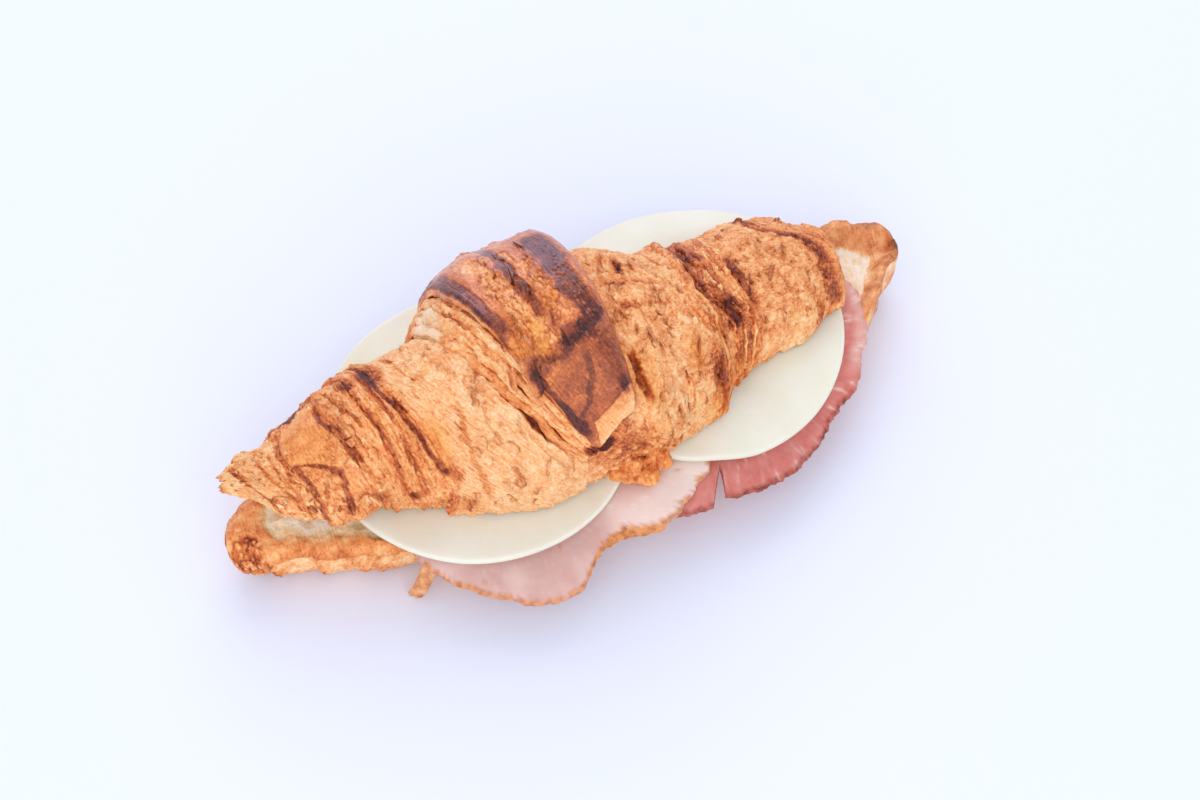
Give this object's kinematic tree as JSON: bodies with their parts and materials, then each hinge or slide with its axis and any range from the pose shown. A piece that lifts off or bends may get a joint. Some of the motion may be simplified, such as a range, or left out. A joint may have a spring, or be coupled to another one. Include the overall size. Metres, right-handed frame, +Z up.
{
  "type": "ham and cheese croissant",
  "caption": "Baked croissant cut level and filled with slices of cured ham, cooked ham and mild round cheese.",
  "frame": {"origin": "middle of the footprint's box, on the surface that the croissant lies on", "axes": "+Z up, +X along the croissant towards its right tip, -Y towards the front where most of the filling shows"},
  "size_m": [0.193, 0.0992, 0.0652],
  "materials": {
    "glazed_crust": "egg-washed flaky crust, satin, golden to dark brown along the layer edges",
    "base_crust": "flaky crust with a pale crumb cut face, matt",
    "cheese": "pale cream cheese, smooth and softly shining",
    "cooked_ham": "moist pale pink meat with a white band of fat",
    "cured_ham": "moist rosy red meat with white marbling and a darker rim",
    "rind": "dry orange-brown smoked rind"
  },
  "bodies": {
    "root": {"croissant_base": "base_crust", "croissant_lid": "glazed_crust", "ham_slice_red": "cured_ham", "ham_slice_pink": "cooked_ham", "cheese_slice_left": "cheese", "cheese_slice_right": "cheese", "ham_rind_strip": "rind"}
  },
  "joints": []
}
